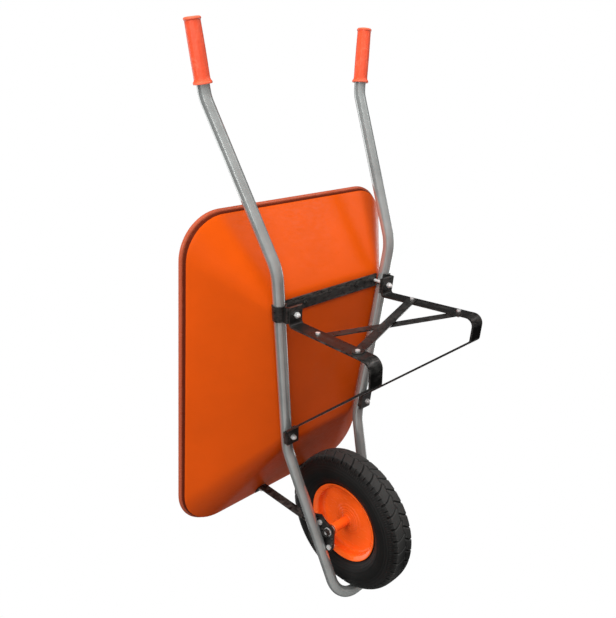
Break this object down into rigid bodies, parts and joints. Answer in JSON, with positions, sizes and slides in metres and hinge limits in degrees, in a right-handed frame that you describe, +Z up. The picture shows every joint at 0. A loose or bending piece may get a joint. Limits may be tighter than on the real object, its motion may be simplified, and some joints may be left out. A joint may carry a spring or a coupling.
{
  "type": "wheelbarrow",
  "caption": "Builder's wheelbarrow with a bent tube frame, deep pressed tray, strip steel legs with crossing braces, and one pneumatic wheel on a dished rim",
  "frame": {"origin": "on the ground, in the middle of the overall length and width", "axes": "+Z up, +Y towards the handles, -Y the way it rolls, X across and along the axle"},
  "size_m": [0.702, 1.4996, 0.5313],
  "materials": {
    "tube": "bright zinc plated tube",
    "grip": "red-orange moulded plastic",
    "tray_paint": "glossy orange powder coat",
    "rim_paint": "glossy deep orange enamel",
    "black_steel": "satin black paint",
    "dark_steel": "dark plain steel",
    "bolt_steel": "bright zinc plated hardware",
    "bush": "black nylon bush",
    "tyre": "black tyre rubber",
    "butyl": "black butyl rubber",
    "cap": "black plastic cap"
  },
  "bodies": {
    "chassis": {"frame_tube": "tube", "grip_left": "grip", "grip_right": "grip", "tray": "tray_paint", "rim_wire": "dark_steel", "rear_cross_member": "black_steel", "cross_member_bolts": "bolt_steel", "cross_member_nuts": "bolt_steel", "rear_clamp_left": "black_steel", "rear_clamp_right": "black_steel", "front_saddle_left": "black_steel", "front_saddle_right": "black_steel", "leg_left": "black_steel", "leg_right": "black_steel", "leg_bolts_rear": "bolt_steel", "leg_nuts_rear": "bolt_steel", "leg_bolts_front": "bolt_steel", "leg_nuts_front": "bolt_steel", "cross_brace_lower": "black_steel", "cross_brace_upper": "black_steel", "brace_bolts": "bolt_steel", "brace_nuts": "bolt_steel", "front_stay_left": "black_steel", "front_stay_right": "black_steel", "stay_bolts": "bolt_steel", "stay_nuts": "bolt_steel", "axle_bracket_left": "black_steel", "axle_bracket_right": "black_steel", "keeper_plate_left": "dark_steel", "keeper_plate_right": "dark_steel", "bracket_bolts": "bolt_steel", "bracket_nuts": "bolt_steel", "axle": "bolt_steel", "axle_nuts": "bolt_steel", "axle_washers": "bolt_steel"},
    "wheel": {"hub": "rim_paint", "bearing_left": "bush", "bearing_right": "bush", "rim_left": "rim_paint", "rim_right": "rim_paint", "tyre": "tyre", "inner_tube": "butyl", "valve_stem": "butyl", "valve_cap": "cap"}
  },
  "joints": [
    {"name": "wheel_spin", "type": "hinge", "parent": "chassis", "child": "wheel", "pos_m": [0, -0.52073, 0.198], "axis": [1, 0, 0], "continuous": true}
  ]
}
